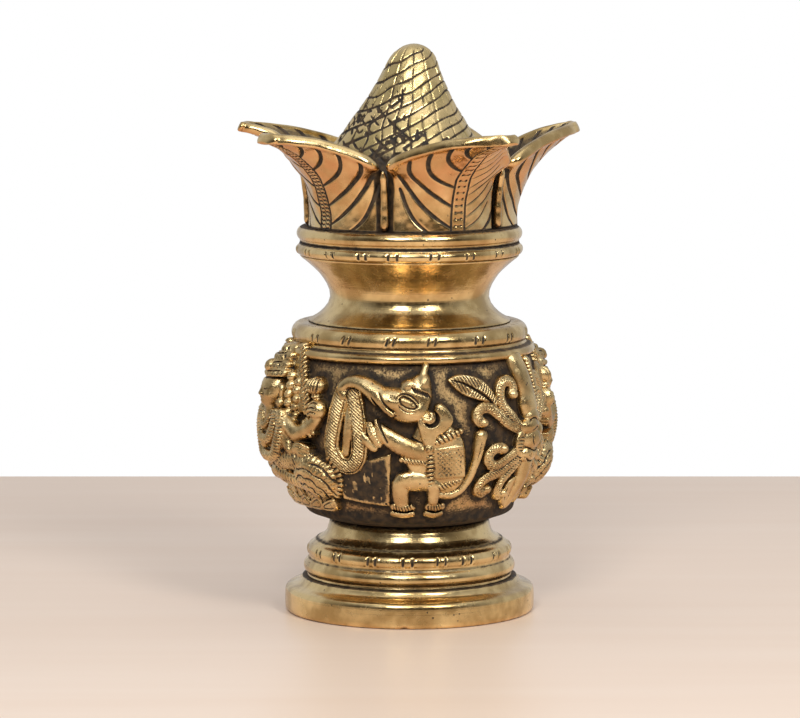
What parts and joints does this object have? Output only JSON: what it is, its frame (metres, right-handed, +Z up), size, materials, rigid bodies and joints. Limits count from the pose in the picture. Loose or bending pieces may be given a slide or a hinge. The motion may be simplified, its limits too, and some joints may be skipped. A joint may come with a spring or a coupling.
{
  "type": "lidded ceremonial water pot",
  "caption": "Brass kalash: a relief-cast water pot on a turned foot, with a lift-off lid shaped as mango leaves round a coconut.",
  "frame": {"origin": "centre of the foot ring at its resting face, on the pot's axis", "axes": "+Z up along the pot's axis from the foot to the coconut's tip; -Y is the front, where the first elephant is; +X is to the right seen from the front"},
  "size_m": [0.0911, 0.0856, 0.15],
  "materials": {
    "turned_brass": "turned and polished, dark in the grooves",
    "belly_brass": "cast ground with black-brown patina",
    "relief_brass": "cast relief, polished on top, patina in the cuts",
    "leaf_brass": "polished, chisel-cut veins blackened",
    "coconut_brass": "cast, cut lattice blackened",
    "plain_brass": "plain turned, dull"
  },
  "bodies": {
    "pot": {"foot_ring": "turned_brass", "foot_moulding": "turned_brass", "belly": "belly_brass", "shoulder_ring": "turned_brass", "neck": "turned_brass", "rim": "turned_brass", "deity_1": "relief_brass", "deity_2": "relief_brass", "elephant_1": "relief_brass", "elephant_2": "relief_brass", "tree_1": "relief_brass", "tree_2": "relief_brass"},
    "lid": {"collar": "turned_brass", "sleeve": "plain_brass", "leaf_1": "leaf_brass", "leaf_2": "leaf_brass", "leaf_3": "leaf_brass", "leaf_4": "leaf_brass", "leaf_5": "leaf_brass", "coconut": "coconut_brass"}
  },
  "joints": [
    {"name": "lid_lift", "type": "slide", "parent": "pot", "child": "lid", "axis": [0, 0, 1], "range_m": [0, 0.05]}
  ]
}
